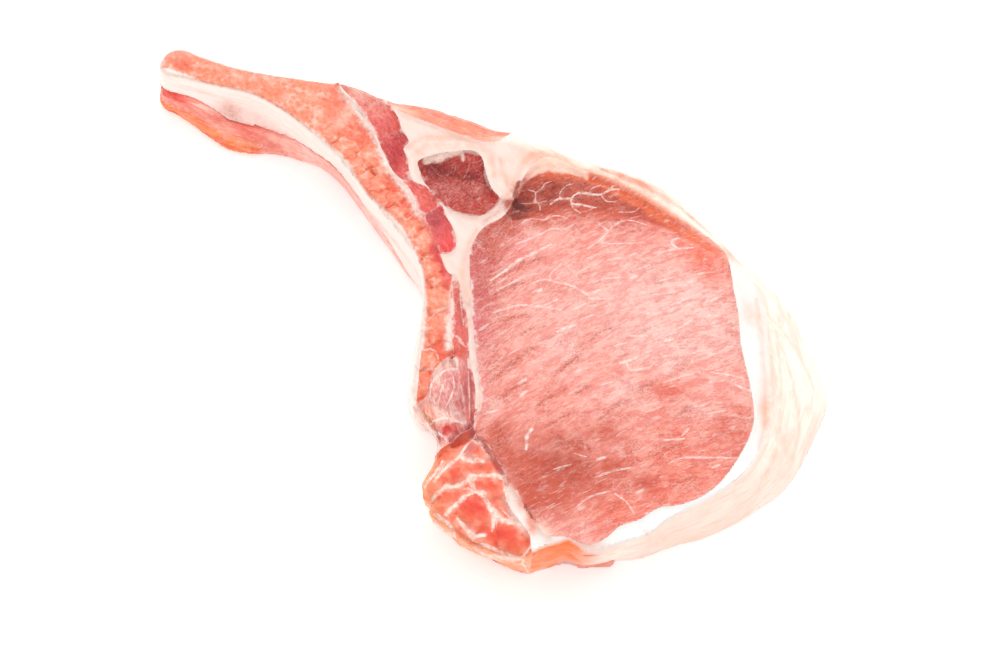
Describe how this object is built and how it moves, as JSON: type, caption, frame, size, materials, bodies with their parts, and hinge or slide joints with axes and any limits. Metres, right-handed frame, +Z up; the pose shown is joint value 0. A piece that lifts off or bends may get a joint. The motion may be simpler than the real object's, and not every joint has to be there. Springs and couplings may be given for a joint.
{
  "type": "raw pork rib chop",
  "caption": "Raw bone-in pork chop: a slice of loin with its eye muscle, smaller muscles, fat cap, curved rib and chine bone, lying flat on one cut face.",
  "frame": {"origin": "centre of the bounding box, on the lower cut face that the chop lies on", "axes": "+Z up, square to the cut faces; +X from the tip of the rib towards the fat cap; +Y from the chine bone towards the rib's tip"},
  "size_m": [0.1732, 0.143, 0.0195],
  "materials": {
    "lean": "satin",
    "dark_lean": "satin",
    "pale_lean": "satin",
    "fat": "satin",
    "bone": "matte",
    "gristle": "satin"
  },
  "bodies": {
    "root": {"loin_eye": "lean", "small_muscle": "dark_lean", "strip_muscle": "dark_lean", "bean_muscle": "dark_lean", "seam_muscle": "dark_lean", "far_lean": "pale_lean", "under_meat": "pale_lean", "lean_tongue": "pale_lean", "fat": "fat", "rib_bone": "bone", "chine_bone": "bone", "joint_capsule": "gristle"}
  },
  "joints": []
}
